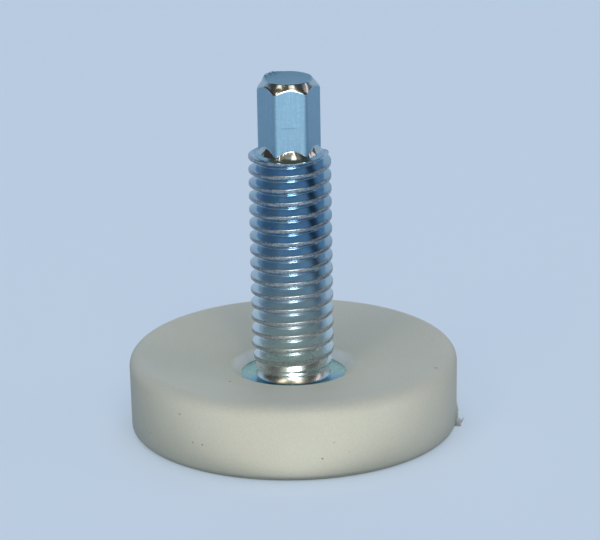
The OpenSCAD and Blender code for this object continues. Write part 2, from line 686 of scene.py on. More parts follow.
@dataclass(frozen=True)
class IvoryPlastic:
    """Matt ivory plastic, straight from the mould."""

    wall_r: float
    mouth_r: float
    ivory: Colour = (0.645, 0.65, 0.49)
    paler: Colour = (0.685, 0.69, 0.54)
    duller: Colour = (0.60, 0.595, 0.435)
    torn: Colour = (0.80, 0.81, 0.74)
    # Painted light: the near-white that the back of the mouth is painted with, standing in for light that the
    # plated stud throws onto it.
    pressed: Colour = (0.97, 0.99, 0.93)
    dirt: Colour = (0.10, 0.09, 0.07)
    cloud_scale: float = 90
    patch_scale: float = 420
    ragged_scale: float = 4000
    grain_scale: float = 5200
    ivory_share: float = 0.55
    grain_share: float = 0.42
    mottle: Span = (0.35, 0.65)
    # Painted light: the band round the mouth, and the fade towards its back, that the painted light fills.
    painted_bounce_ring: Span = (0.5, -0.6)
    painted_bounce_back: Span = (-4.5, 4.5)
    torn_depth: Span = (0.01, 0.06)
    roughness: float = 0.54
    roughness_spread: float = 0.18
    relief: float = 0.00002
    relief_strength: float = 0.6
    marks: tuple[Speck | Scratch, ...] = (
        Speck(-46, 10.0, 7.7, 0.20, 1.0),
        Speck(-49.5, 9.8, 7.65, 0.11, 0.7),
        Speck(-53, 9.6, 7.65, 0.10, 0.5),
        Speck(135, 9.7, 7.65, 0.15, 0.6),
        Speck(93, 13.9, 8.25, 0.21, 0.75),
        Speck(67, 17.5, 8.8, 0.3, 0.55),
        Speck(62, 10.5, 7.75, 0.14, 0.3),
        Speck(-62, 12.1, 8.0, 0.12, 0.3),
        Speck(-158, 14.6, 8.35, 0.15, 0.5),
        Speck(-43, 18.7, 6.5, 0.17, 0.6),
        Speck(-37.5, 18.7, 3.5, 0.13, 0.65),
        Speck(-33.5, 18.7, 3.5, 0.17, 0.7),
        Speck(9.5, 18.7, 2.7, 0.17, 0.9),
        Speck(13.5, 18.7, 4.5, 0.14, 0.3),
        Speck(19, 18.7, 3.2, 0.12, 0.3),
        Speck(-60.5, 18.7, 2.6, 0.13, 0.5),
        Speck(158, 18.7, 5.3, 0.16, 0.6),
        Speck(-118, 18.7, 3.9, 0.14, 0.6),
        Scratch(Speck(43, 13.0, 8.1, 0.12, 0.4), Speck(48, 17.3, 8.75, 0.12, 0.4)),
    )

    def soil(self, board: Board) -> Signal:
        """Lay the flecks and the scratch, each with a ragged edge.

        Args:
            board: The board that the nodes go on.

        Returns:
            How dirty a point is, from 0 to 1.
        """
        wander = board.noise(self.ragged_scale) - 0.5
        stains = []
        for mark in self.marks:
            ragged = mark.distance(board) + wander * mark.size
            stains.append(ragged.fade(mark.size, mark.size * 0.4) * mark.strength)
        return functools.reduce(Signal.at_least, stains)

    def colour(self, board: Board, patch: Signal, grain: Signal) -> Socket:
        """Cloudy ivory with marks, paler where the gate tore, and with painted light that makes the back of
        the mouth paler.

        Args:
            board: The board that the nodes go on.
            patch: Noise of a few millimetres.
            grain: Noise of a fraction of a millimetre.

        Returns:
            The colour.
        """
        radius, y = board.radius, board.xyz[1]
        cloud = board.noise(self.cloud_scale, 3)
        colour = board.mix(cloud.fade(*self.mottle), self.duller, self.paler)
        colour = board.mix(self.ivory_share, colour, self.ivory)
        grainy = board.mix(grain.fade(*self.mottle), self.duller, self.paler)
        colour = board.mix(self.grain_share, colour, grainy)
        # Painted light: the lead-in at the back of the mouth is painted paler, standing in for light that the
        # plated stud throws onto it.
        outside, inside = (self.mouth_r + off for off in self.painted_bounce_ring)
        painted_bounce = (radius + (patch - 0.5) * 0.6).fade(outside, inside) * y.fade(*self.painted_bounce_back)
        colour = board.mix(painted_bounce, colour, self.pressed)
        colour = board.mix(self.soil(board), colour, self.dirt)
        skin, deep = (self.wall_r + depth for depth in self.torn_depth)
        split = radius.fade(skin, deep) * (0.55 + 0.45 * grain.fade(0.42, 0.58))
        return board.mix(split, colour, self.torn)

    def dress(self, piece: bpy.types.Object) -> None:
        """Give a piece this finish.

        Args:
            piece: The piece, in metres.
        """
        material, board = new_board("ivory_plastic")
        patch = board.noise(self.patch_scale, 4, 0.6)
        grain = board.noise(self.grain_scale, 3, 0.6)
        inputs = {
            "Base Color": self.colour(board, patch, grain),
            "Roughness": self.roughness + (patch - 0.5) * self.roughness_spread,
            "IOR": 1.48,
            "Subsurface Weight": 0.08,
            "Subsurface Radius": (1.0, 0.9, 0.6),
            "Subsurface Scale": 0.0008,
            "Normal": board.bump(grain * 0.5 + patch, self.relief, self.relief_strength),
        }
        board.finish(board.node("ShaderNodeBsdfPrincipled", None, inputs))
        coat(piece, material)


@dataclass(frozen=True)
class PlateMasks:
    """What varies over the plated stud: where its surfaces are, and the noises that mottle them."""

    blued: Signal
    flats: Signal
    crests: Signal
    fine: Signal
    gritty: Signal
    drawn: Signal
    blotch: Signal


@dataclass(frozen=True)
class ZincPlate:
    """Bright zinc plating with a faint blue passivation over rolled, pressed and drawn steel.

    The flats of the hexagon are drawn, so they are duller than the flanks of the rolled thread, and
    the crests, where the dies leave a seam, are rough and grey.
    """

    stud: Stud
    steel_blue: Colour = (0.33, 0.49, 0.61)
    deep_blue: Colour = (0.27, 0.43, 0.58)
    teal: Colour = (0.27, 0.52, 0.56)
    violet: Colour = (0.33, 0.38, 0.58)
    straw: Colour = (0.46, 0.50, 0.48)
    pale_zinc: Colour = (0.66, 0.76, 0.78)
    worn_blue: Colour = (0.46, 0.56, 0.61)
    # Painted reflection: the flange's face is painted blue on its near side and green on its far side.
    painted_reflection_near_blue: Colour = (0.20, 0.42, 0.58)
    painted_reflection_far_green: Colour = (0.38, 0.58, 0.51)
    drawn_blue: Colour = (0.26, 0.45, 0.58)
    seam_grey: Colour = (0.46, 0.46, 0.45)
    seam_dark: Colour = (0.14, 0.14, 0.14)
    bare: Colour = (1.0, 1.0, 1.0)
    teal_share: float = 0.5
    violet_share: float = 0.4
    straw_share: float = 0.5
    seam_share: float = 0.6
    cloud_scale: float = 180
    tarnish_scale: float = 700
    blotch_scale: float = 1100
    fine_scale: float = 1500
    grit_scale: float = 5000
    drawn_scale: float = 11000
    drawn_stretch: tuple[float, float, float] = (1.0, 1.0, 0.02)
    bright_roughness: float = 0.17
    worn_roughness: float = 0.27
    drawn_roughness: float = 0.46
    seam_roughness: float = 0.30
    relief: float = 0.000008
    relief_strength: float = 0.7
    blued_rise: Span = (1.5, 20.0)
    drawn_streaks: float = 0.4
    grit_streaks: float = 0.45
    drive_mottle: float = 0.3
    rough_mottle: float = 0.06
    rough_streaks: float = 0.16
    mark_rise: float = 2.7
    mark_strength: float = 0.45
    mark_wander: float = 0.35
    mark_half_width: Span = (0.07, 0.02)
    mark_half_length: Span = (1.0, 0.7)
    mark_front: Span = (-2.0, -2.5)

    def flats(self, board: Board) -> Signal:
        """Find the flats of the hexagon.

        Args:
            board: The board that the nodes go on.

        Returns:
            1 on the flats, 0 on the chamfer above them and on the cone below.
        """
        radius, height = board.radius, board.xyz[2]
        stud, drive = self.stud, self.stud.drive
        chamfer = drive.tip_r + (stud.tip_z - height) / slope_of(drive.tip_angle)
        cone = stud.shoulder_r - (height - stud.shoulder_z) / slope_of(stud.shoulder_angle)
        above = height.fade(stud.shoulder_z, stud.shoulder_z + 0.1)
        return (chamfer - radius).fade(0.03, 0.12) * (radius - cone).fade(0.02, 0.1) * above

    def crests(self, board: Board) -> Signal:
        """Find the crests of the thread, which drop where it runs out.

        Args:
            board: The board that the nodes go on.

        Returns:
            1 along the crests, 0 elsewhere.
        """
        stud, height = self.stud, board.xyz[2]
        crest = (stud.run_out_r + (height - stud.last_crest_z) * stud.swell).at_most(stud.thread.crest_r)
        above = height.fade(stud.last_crest_z + 0.4, stud.last_crest_z + stud.thread.pitch)
        return (board.radius - crest).fade(-0.11, -0.03) * above

    def tool_mark(self, board: Board, wander: Signal) -> Signal:
        """Rub a faint line across the front flat, as a socket does.

        Args:
            board: The board that the nodes go on.
            wander: How far the line strays, in millimetres.

        Returns:
            1 on the line, 0 elsewhere.
        """
        x, y, z = board.xyz
        off = abs(z - self.stud.hex_z - self.mark_rise + wander)
        along = abs(x + 0.1) + wander * 2
        line = off.fade(*self.mark_half_width) * along.fade(*self.mark_half_length)
        return line * y.fade(*self.mark_front)

    def masks(self, board: Board) -> PlateMasks:
        """Work out everything that the colour, the roughness and the relief share.

        Args:
            board: The board that the nodes go on.

        Returns:
            The surfaces and the noises.
        """
        blued_from, blued_to = (self.stud.neck_top_z + rise for rise in self.blued_rise)
        drawn_out = board.vector("MULTIPLY", {0: board.place, 1: self.drawn_stretch})
        return PlateMasks(
            blued=board.xyz[2].fade(blued_from, blued_to),
            flats=self.flats(board),
            crests=self.crests(board),
            fine=board.noise(self.fine_scale),
            gritty=board.noise(self.grit_scale, roughness=0.6),
            drawn=board.noise(self.drawn_scale, vector=drawn_out),
            blotch=board.noise(self.blotch_scale, 3, 0.6),
        )

    def passivation(self, board: Board, masks: PlateMasks) -> Socket:
        """Mottled blue, paler towards the foot, and a painted reflection across the flange, blue on its near
        side and green on its far side.

        Args:
            board: The board that the nodes go on.
            masks: The surfaces and the noises.

        Returns:
            The colour of the plating before it is worn.
        """
        _, y, height = board.xyz
        blotch, flange_z = masks.blotch, self.stud.flange_top_z
        cloud = board.noise(self.cloud_scale, 3)
        tarnish = board.noise(self.tarnish_scale).fade(0.56, 0.76)
        colour = board.mix(cloud.fade(0.3, 0.7), self.deep_blue, self.steel_blue)
        colour = board.mix(blotch.fade(0.52, 0.68) * self.teal_share, colour, self.teal)
        colour = board.mix(blotch.fade(0.48, 0.34) * self.violet_share, colour, self.violet)
        colour = board.mix(tarnish * self.straw_share, colour, self.straw)
        colour = board.mix(masks.blued, self.pale_zinc, colour)
        # Painted reflection: blue to green from the near side of the flange to its far side, standing in for
        # what its bright face reflects.
        across = (y + (blotch - 0.5) * 3).fade(-2.4, -0.2)
        on_flange = height.fade(flange_z + 0.12, flange_z + 0.04)
        return board.mix(on_flange, colour, board.mix(across, self.painted_reflection_near_blue, self.painted_reflection_far_green))

    def colour(self, board: Board, masks: PlateMasks) -> Socket:
        """Wear the plating: pressed cone, drawn flats, rubbed line and seamed crests.

        Args:
            board: The board that the nodes go on.
            masks: The surfaces and the noises.

        Returns:
            The colour.
        """
        stud, height = self.stud, board.xyz[2]
        colour = self.passivation(board, masks)
        above_thread = height.fade(stud.shoulder_z, stud.shoulder_z + 0.1)
        under_tip = height.fade(stud.tip_z - 0.05, stud.tip_z - 0.2)
        colour = board.mix(above_thread * under_tip, colour, self.worn_blue)
        colour = board.mix(masks.flats, colour, self.drawn_blue)
        streaky = (masks.drawn - 0.5) * self.drawn_streaks + (masks.gritty - 0.5) * self.grit_streaks
        colour = board.mix(streaky * masks.flats, colour, self.bare)
        on_drive = height.fade(stud.hex_z, stud.hex_z + 0.5)
        colour = board.mix((masks.blotch - 0.55) * on_drive * self.drive_mottle, colour, self.bare)
        rubbed = self.tool_mark(board, (masks.fine - 0.5) * self.mark_wander)
        colour = board.mix(rubbed * self.mark_strength, colour, self.seam_dark)
        seam = board.mix(masks.gritty.fade(0.56, 0.42), self.seam_grey, self.seam_dark)
        return board.mix(masks.crests * self.seam_share, colour, seam)

    def roughness(self, masks: PlateMasks) -> Signal:
        """Duller at the foot, on the flats and along the crests.

        Args:
            masks: The surfaces and the noises.

        Returns:
            The roughness.
        """
        roughness = self.worn_roughness + masks.blued * (self.bright_roughness - self.worn_roughness)
        roughness = roughness + masks.flats * (self.drawn_roughness - self.bright_roughness)
        roughness = roughness + masks.crests * (self.seam_roughness - self.bright_roughness)
        roughness = roughness + (masks.fine - 0.5) * self.rough_mottle
        return roughness + (masks.drawn - 0.5) * masks.flats * self.rough_streaks

    def dress(self, piece: bpy.types.Object) -> None:
        """Give a piece this finish.

        Args:
            piece: The piece, in metres.
        """
        material, board = new_board("zinc_plate")
        masks = self.masks(board)
        relief = masks.fine * 0.06 + masks.flats * masks.drawn + masks.crests * masks.gritty
        inputs = {
            "Base Color": self.colour(board, masks),
            "Metallic": 1.0,
            "Roughness": self.roughness(masks),
            "Normal": board.bump(relief, self.relief, self.relief_strength),
        }
        board.finish(board.node("ShaderNodeBsdfPrincipled", None, inputs))
        coat(piece, material)


# ---------------------------------------------------------------------------------------------
# The stud
# ---------------------------------------------------------------------------------------------


@dataclass
class Thread:
    """A coarse 60 degree rolled thread. Lengths are in millimetres."""

    crest_r: float = 4.69
    depth: float = 0.95
    pitch: float = 1.5875
    crest_round: float = 0.15
    root_round: float = 0.09
    flank_angle: float = 30.0
    root_steps: int = 4
    crest_steps: int = 6
    steps_per_turn: int = 128

    @property
    def root_r(self) -> float:
        """Radius at the bottom of the groove."""
        return self.crest_r - self.depth

    @property
    def crest_flat(self) -> float:
        """Width that the 60 degree form leaves flat along the crest."""
        rounded_depth = self.depth + self.crest_round + self.root_round
        return self.pitch - 2 * slope_of(self.flank_angle) * rounded_depth

    def outline(self) -> Outline:
        """Draw one pitch of the thread.

        Returns:
            The outline, from the middle of one root to the middle of the next.
        """
        sweep = 90.0 - self.flank_angle
        middle = self.pitch / 2
        root = arc((self.root_r + self.root_round, 0.0), self.root_round, 180, 180 - sweep, self.root_steps)
        crest_centre = (self.crest_r - self.crest_round, middle - self.crest_flat / 2)
        crest = arc(crest_centre, self.crest_round, -sweep, 0, self.crest_steps)
        lower = root + crest
        return lower + [(radius, self.pitch - height) for radius, height in reversed(lower)]

    def roll(self, name: str, start_z: float, end_z: float) -> Workpiece:
        """Wind the outline into a closed threaded rod.

        Args:
            name: Name of the piece.
            start_z: Height of a root on the +X side, at or under the rod's lower end.
            end_z: Height that the rod reaches.

        Returns:
            The rod, with its ends closed by shallow cones.
        """
        clear_bench()
        bpy.ops.mesh.primitive_plane_add(size=1)
        rod = Workpiece(name)
        rod.edit()
        rod.pick(Part.POINTS, lambda point: point.index > 0)
        bpy.ops.mesh.delete(type="VERT")
        points = self.outline()
        rod.pick(Part.POINTS, lambda point: True)
        first = next(iter(bmesh.from_edit_mesh(rod.obj.data).verts)).co.copy()
        bpy.ops.transform.translate(value=Vector((points[0][0], 0, start_z)) - first)
        for before, after in zip(points, points[1:]):
            rod.extrude((after[0] - before[0], 0, after[1] - before[1]))
        rod.activate()
        screw = rod.obj.modifiers.new("roll", "SCREW")
        screw.axis = "Z"
        screw.angle = 2 * math.pi
        screw.screw_offset = self.pitch
        screw.iterations = math.ceil((end_z - start_z) / self.pitch) + 1
        screw.steps = self.steps_per_turn
        screw.render_steps = self.steps_per_turn
        bpy.ops.object.modifier_apply(modifier=screw.name)
        rod.tidy()
        middle_z = (start_z + end_z) / 2
        for below in (True, False):
            rod.edit()
            rod.pick(
                Part.EDGES,
                lambda edge: edge.is_boundary and all((end.co.z < middle_z) == below for end in edge.verts),
            )
            rod.extrude((0, 0, 0))
            bpy.ops.mesh.merge(type="CENTER")
        rod.tidy()
        return rod


@dataclass
class HexDrive:
    """The hexagonal end that a socket turns, cut off in a shear. Lengths are in millimetres."""

    across_flats: float = 6.32
    length: float = 7.7
    corner_round: float = 0.6
    turn: float = 3.3
    tip_r: float = 2.7
    tip_angle: float = 51.0
    chamfer_edge: float = 0.13
    face_edge: float = 0.06
    face_hollow: float = 0.07
    burr_height: float = 0.16
    burr_azimuth: float = -125.0
    burr_spread: Span = (10, 50)
    torn_spread: Span = (25, 60)
    root: float = 2.0
    blank_margin: float = 0.2
    sides: int = 240
    straight_rings: int = 8
    chamfer_rings: int = 34
    face_rings: tuple[float, ...] = (0.93, 0.85, 0.75, 0.63, 0.5, 0.36, 0.2, 0.07)
    drawn: Unevenness = Unevenness(depth=0.035, grain=1.1)
    pitted: Unevenness = Unevenness(depth=0.012, grain=0.45)
    torn: Unevenness = Unevenness(depth=0.07, grain=0.3)

    @property
    def flat_r(self) -> float:
        """Distance from the axis to a flat."""
        return self.across_flats / 2

    @property
    def sharp_r(self) -> float:
        """Distance from the axis to a corner before it is rounded."""
        return self.flat_r / math.cos(math.radians(30))

    def reach(self, azimuth: float) -> float:
        """Find the outline of the hexagon.

        Args:
            azimuth: Direction from the -Y side towards +X, in degrees.

        Returns:
            Distance from the axis to the outline.
        """
        off = abs((azimuth - self.turn + 30) % 60 - 30)
        last_flat = math.degrees(math.atan((self.flat_r - self.corner_round) * slope_of(30) / self.flat_r))
        if off <= last_flat:
            return self.flat_r / math.cos(math.radians(off))
        centre = self.sharp_r - self.corner_round / math.cos(math.radians(30))
        off_corner = math.radians(30 - off)
        across = centre * math.sin(off_corner)
        return centre * math.cos(off_corner) + math.sqrt(self.corner_round**2 - across**2)

    def chamfer_r(self, z: float, tip_z: float) -> float:
        """Radius of the tip's chamfer at a height."""
        return self.tip_r + (tip_z - z) / slope_of(self.tip_angle)

    def turn_blank(self, name: str, tip_z: float) -> Turning:
        """Turn a round head with a chamfered tip and a hollow face.

        Args:
            name: Name of the piece.
            tip_z: Height of the tip.

        Returns:
            The round head.
        """
        blank_r = self.sharp_r + self.blank_margin
        chamfer_z = tip_z - (blank_r - self.tip_r) * slope_of(self.tip_angle)
        blank = Turning(name, blank_r, tip_z - self.length - self.root, self.sides)
        for i in range(1, self.straight_rings + 1):
            blank.grow(blank_r, blank.height + (chamfer_z - blank.height) * i / self.straight_rings)
        edge_z = tip_z - self.face_edge * 0.6
        blank.ramp(self.chamfer_r(edge_z, tip_z), edge_z, self.chamfer_rings)
        blank.grow(self.tip_r - self.face_edge * 0.2, tip_z - self.face_edge * 0.15)
        blank.grow(self.tip_r - self.face_edge, tip_z)
        for part in self.face_rings:
            blank.grow(self.tip_r * part, tip_z - self.face_hollow * (1 - part**2))
        return blank

    def press(self, point: Vector, tip_z: float) -> Vector:
        """Press the flats into the round head and raise the burr on its rim.

        Args:
            point: A point of the round head.
            tip_z: Height of the tip.

        Returns:
            Where the point goes.
        """
        radius, azimuth = around(point)
        pressed = soft_min(radius, self.reach(azimuth), self.chamfer_edge)
        off_burr = turn_between(azimuth, self.burr_azimuth)
        rim = smooth_step(radius, self.tip_r - 0.5, self.tip_r - 0.1)
        rim *= smooth_step(point.z, tip_z - 0.45, tip_z - 0.1)
        lift = self.burr_height * rim * (1 - smooth_step(off_burr, *self.burr_spread))
        factor = (pressed + lift * 0.6) / radius
        return Vector((point.x * factor, point.y * factor, point.z + lift))

    def off_flats(self, point: Vector) -> float:
        """Find what lies within the hexagon: the chamfer, and less of the face.

        Args:
            point: A point of the head.

        Returns:
            0 on the flats, up to 1 on the chamfer.
        """
        radius, azimuth = around(point)
        face = smooth_step(radius, self.tip_r - 0.1, self.tip_r - 0.6)
        return smooth_step(self.reach(azimuth) - radius, 0.0, 0.12) * (1 - 0.6 * face)

    def on_burr(self, point: Vector, tip_z: float) -> float:
        """Find the burr.

        Args:
            point: A point of the head.
            tip_z: Height of the tip.

        Returns:
            1 on the burr, 0 elsewhere.
        """
        off_burr = turn_between(around(point)[1], self.burr_azimuth)
        above = smooth_step(point.z, tip_z - 0.12, tip_z + 0.02)
        return above * (1 - smooth_step(off_burr, *self.torn_spread))

    def head(self, name: str, tip_z: float) -> Workpiece:
        """Turn a round head, press its flats and leave the marks of the shear.

        Args:
            name: Name of the piece.
            tip_z: Height of the tip.

        Returns:
            The hexagon, as a closed mesh that reaches down into the shoulder.
        """
        head = self.turn_blank(name, tip_z)
        head.reshape(lambda point: self.press(point, tip_z))
        head.batter(self.drawn, self.off_flats)
        head.batter(self.pitted, self.off_flats)
        head.batter(self.torn, lambda point: self.on_burr(point, tip_z))
        return head


@dataclass
class Stud:
    """The steel stud, from its flange in the pad up to its drive end. Lengths are in millimetres."""

    seat_z: float
    tip_z: float
    thread: Thread = field(default_factory=Thread)
    drive: HexDrive = field(default_factory=HexDrive)
    flange_r: float = 6.4
    flange_t: float = 2.0
    flange_chamfer: float = 0.5
    flange_edge_round: float = 0.12
    neck_l: float = 0.7
    neck_flare_r: float = 1.6
    neck_foot_r: float = 4.3
    run_out_l: float = 2.2
    run_out_drop: float = 0.36
    run_out_cone_l: float = 1.95
    run_out_rings: int = 6
    ridge_lean: float = 0.02
    ridge_edge: tuple[tuple[float, float], ...] = (
        (-0.05, -0.05), (-0.012, -0.02), (0.0, 0.015), (-0.012, 0.055),
    )
    thread_start_rise: float = 0.336
    thread_end_angle: float = 8.0
    thread_end_edge: float = 0.08
    blank_margin: float = 0.1
    shoulder_r: float = 3.62
    shoulder_angle: float = 61.0
    shoulder_rings: int = 8
    groove_r: float = 3.93
    groove_drop: float = 0.30
    groove_rim_r: float = 4.36
    groove_rings: int = 5
    overlap: float = 0.2
    spare_turns: int = 3
    sides: int = 192
    pressed: Unevenness = Unevenness(depth=0.035, grain=0.9)
    dragged: Unevenness = Unevenness(depth=0.032, grain=0.32, streak=8)

    @property
    def flange_top_z(self) -> float:
        """Height of the flange's upper face."""
        return self.seat_z + self.flange_t

    @property
    def neck_top_z(self) -> float:
        """Height at which the neck ends under the last ridge."""
        return self.flange_top_z + self.neck_l

    @property
    def run_out_r(self) -> float:
        """Radius of the crest at the lower end of the run-out."""
        return self.thread.crest_r - self.run_out_drop

    @property
    def swell(self) -> float:
        """How fast the crest's radius grows along the run-out."""
        return self.run_out_drop / self.run_out_l

    @property
    def last_crest_z(self) -> float:
        """Height of the lowest crest on the -Y side."""
        rise = self.run_out_r - self.thread.root_r
        return self.neck_top_z + rise * slope_of(self.thread.flank_angle)

    @property
    def hex_z(self) -> float:
        """Height at which the flats of the hexagon start."""
        return self.tip_z - self.drive.length

    @property
    def shoulder_z(self) -> float:
        """Height at which the cone under the hexagon meets the end face of the thread."""
        return self.hex_z - (self.shoulder_r - self.drive.flat_r) * slope_of(self.shoulder_angle)

    def turn_foot(self) -> Turning:
        """Turn the flange, the neck, the last ridge and the cone that the thread runs out on.

        Returns:
            The foot of the stud.
        """
        round_r, flare_r, neck_r = self.flange_edge_round, self.neck_flare_r, self.thread.root_r
        foot = Turning("stud_foot", self.flange_r - self.flange_chamfer, self.seat_z, self.sides)
        foot.grow(self.flange_r, self.seat_z + self.flange_chamfer)
        foot.follow(arc((self.flange_r - round_r, self.flange_top_z - round_r), round_r, 0, 90, 4))
        flare_end = math.degrees(math.acos(1 - (self.neck_foot_r - neck_r) / flare_r))
        flare_z = self.flange_top_z + flare_r * math.sin(math.radians(flare_end))
        flare_start = math.degrees(math.asin((flare_z - self.neck_top_z) / flare_r))
        foot.follow(arc((neck_r + flare_r, flare_z), flare_r, 180 + flare_end, 180 + flare_start, 10))
        ridge_r, ridge_z = self.run_out_r, self.last_crest_z
        foot.follow((ridge_r + out, ridge_z + up) for out, up in self.ridge_edge)
        cone_r, cone_z, cone_top_z = ridge_r - 0.03, ridge_z + 0.1, ridge_z + self.run_out_cone_l
        for i in range(1, self.run_out_rings + 1):
            share = i / self.run_out_rings
            foot.grow(cone_r - (cone_r - neck_r) * share, cone_z + (cone_top_z - cone_z) * share)
        foot.grow(neck_r - self.overlap, cone_top_z + 0.6)

        def lean(point: Vector) -> Vector:
            """Tilt the last ridge a little, as a thread's end does."""
            share = smooth_step(point.z, self.neck_top_z, ridge_z - 0.06)
            return Vector((point.x, point.y, point.z + point.x * self.ridge_lean * share))

        foot.reshape(lean)
        return foot

    def turn_blank(self) -> Turning:
        """Turn the envelope that the thread is kept within, up to the cone under the hexagon.

        Returns:
            The envelope.
        """
        crest_r = self.thread.crest_r
        over_r = crest_r + self.blank_margin
        over_z = self.last_crest_z + (over_r - self.run_out_r) / self.swell
        rim_z = self.shoulder_z - (crest_r - self.shoulder_r) * slope_of(self.thread_end_angle)
        groove_z = self.shoulder_z - self.groove_drop
        groove_w, groove_d = self.groove_rim_r - self.groove_r, rim_z - groove_z
        start_r = self.run_out_r + self.thread_start_rise * self.swell
        start_z = self.last_crest_z + self.thread_start_rise
        blank = Turning("stud_blank", start_r, start_z, self.sides)
        blank.follow([
            (over_r, over_z),
            (over_r, rim_z - 0.02),
            (crest_r - self.thread_end_edge, rim_z),
            (self.groove_rim_r + self.thread_end_edge, rim_z + 0.01),
            (self.groove_rim_r, rim_z),
            (self.groove_r + groove_w * 0.6, groove_z + groove_d * 0.6),
            (self.groove_r + groove_w * 0.25, groove_z + groove_d * 0.12),
            (self.groove_r, groove_z),
        ])
        blank.ramp(self.shoulder_r, self.shoulder_z, self.groove_rings)
        top_r = self.drive.flat_r - self.overlap
        top_z = self.shoulder_z + (self.shoulder_r - top_r) * slope_of(self.shoulder_angle)
        blank.ramp(top_r, top_z, self.shoulder_rings)
        return blank

    def on_shoulder(self, point: Vector) -> float:
        """Find the cone under the hexagon.

        Args:
            point: A point of the stud.

        Returns:
            1 on the cone, fading to 0 on the end face of the thread and on the hexagon.
        """
        off_thread = 1 - smooth_step(around(point)[0], self.shoulder_r + 0.1, self.thread.crest_r)
        above = smooth_step(point.z, self.shoulder_z - 0.2, self.shoulder_z + 0.05)
        return off_thread * above * (1 - smooth_step(point.z, self.hex_z + 0.1, self.hex_z + 0.4))

    def build(self) -> bpy.types.Object:
        """Model the whole stud as one closed mesh.

        Returns:
            The finished stud.
        """
        pitch = self.thread.pitch
        # A root at this height on the +X side brings a crest to the -Y side at last_crest_z.
        start_z = self.last_crest_z + 0.75 * pitch - self.spare_turns * pitch
        stud = self.thread.roll("stud_steel", start_z, self.hex_z + pitch)
        stud.combine(self.turn_blank(), Solve.SHARED)
        stud.combine(self.turn_foot(), Solve.JOIN)
        stud.combine(self.drive.head("stud_drive", self.tip_z), Solve.JOIN)
        stud.tidy()
        stud.batter(self.pressed, self.on_shoulder)
        stud.batter(self.dragged, self.on_shoulder)
        return stud.hand_over()


# ---------------------------------------------------------------------------------------------
# The pad
# ---------------------------------------------------------------------------------------------


@dataclass
class GateScar:
    """What is left on the side wall where the pad was broken off its sprue. Lengths are in millimetres."""

    wall_r: float
    azimuth: float = 89.0
    width: float = 3.6
    height: float = 1.3
    middle_z: float = 1.4
    proud: float = 0.10
    root: float = 0.6
    raggedness: float = 0.10
    edge_wander: float = 0.5
    end_bite: float = 0.9
    far_narrowing: float = 0.45
    far_sinking: float = 0.8
    stub_t: float = 0.34
    whisker_t: float = 0.2
    cuts: int = 19

    def wrap(self, point: Vector) -> Vector:
        """Lay a flat shape against the wall: x is outwards, y along the wall and z up."""
        turn = math.radians(self.azimuth) + point.y / self.wall_r
        return Vector((*off_axis(turn, self.wall_r + point.x), point.z))

    def tear(self, point: Vector) -> Vector:
        """Roughen a block into the torn face, thinner and narrower towards its far end.

        Args:
            point: A point of the block, flat.

        Returns:
            Where it goes on the wall.
        """
        rough = noise.noise(Vector((point.y * 2.3, point.z * 2.3, 4.7)))
        edge = noise.noise(Vector((point.y * 1.7, 9.1, 0.3)))
        end = noise.noise(Vector((0.6, 2.8, point.z * 1.9)))
        far = smooth_step(point.y, -self.width / 3, self.width / 3)
        spread = (1 + edge * self.edge_wander) * (1 - self.far_narrowing * far * far)
        out = point.x + max(point.x, 0.0) / self.proud * rough * self.raggedness
        along = point.y - self.end_bite * max(end + 0.2, 0.0) * far
        up = self.middle_z + (point.z - self.middle_z) * spread
        return self.wrap(Vector((out * (1 - self.far_sinking * far), along, up)))

    def break_face(self) -> Workpiece:
        """Tear a low rough ridge where the gate snapped off.

        Returns:
            The ridge, rooted in the wall.
        """
        clear_bench()
        bpy.ops.mesh.primitive_cube_add(size=1)
        ridge = Workpiece("gate_break")
        ridge.edit()
        ridge.pick(Part.POINTS, lambda point: True)
        bpy.ops.mesh.subdivide(number_cuts=self.cuts)
        size = (self.root + self.proud, self.width, self.height)
        bpy.ops.transform.resize(value=size, center_override=(0, 0, 0))
        bpy.ops.transform.translate(value=((self.proud - self.root) / 2, 0, self.middle_z))
        ridge.reshape(self.tear)
        return ridge

    def flash(self, name: str, outline: Outline, thickness: float) -> Workpiece:
        """Cut a flat scrap of plastic that stands out from the near end of the gate.

        Args:
            name: Name of the piece.
            outline: Its outline, as (outwards, upwards) points.
            thickness: How thick it is along the wall.

        Returns:
            The scrap, rooted in the wall.
        """
        clear_bench()
        bpy.ops.mesh.primitive_circle_add(vertices=len(outline), radius=1, fill_type="NGON")
        piece = Workpiece(name)
        for vertex, (out, up) in zip(piece.obj.data.vertices, outline):
            vertex.co = Vector((out, -self.width / 2, up))
        piece.edit()
        piece.pick(Part.FACES, lambda face: True)
        piece.extrude((0, thickness, 0))
        piece.tidy()
        piece.reshape(self.wrap)
        return piece

    def stub(self) -> Workpiece:
        """Cut the low stub under the near corner of the gate.

        Returns:
            The stub.
        """
        inner = -self.root
        outline = [(inner, 0.03), (0.34, 0.04), (0.46, 0.12), (0.43, 0.24), (0.26, 0.3), (inner, 0.32)]
        return self.flash("gate_stub", outline, self.stub_t)

    def whisker(self) -> Workpiece:
        """Cut the torn whisker over the stub, which ends in two points.

        Returns:
            The whisker.
        """
        inner = -self.root
        outline = [
            (inner, 0.42), (0.45, 0.43), (0.56, 0.5), (0.66, 0.7), (0.8, 1.02), (0.72, 1.08),
            (0.56, 0.84), (0.48, 0.68), (0.4, 0.82), (0.31, 1.04), (0.22, 1.0), (0.24, 0.68), (inner, 0.66),
        ]
        return self.flash("gate_whisker", outline, self.whisker_t)


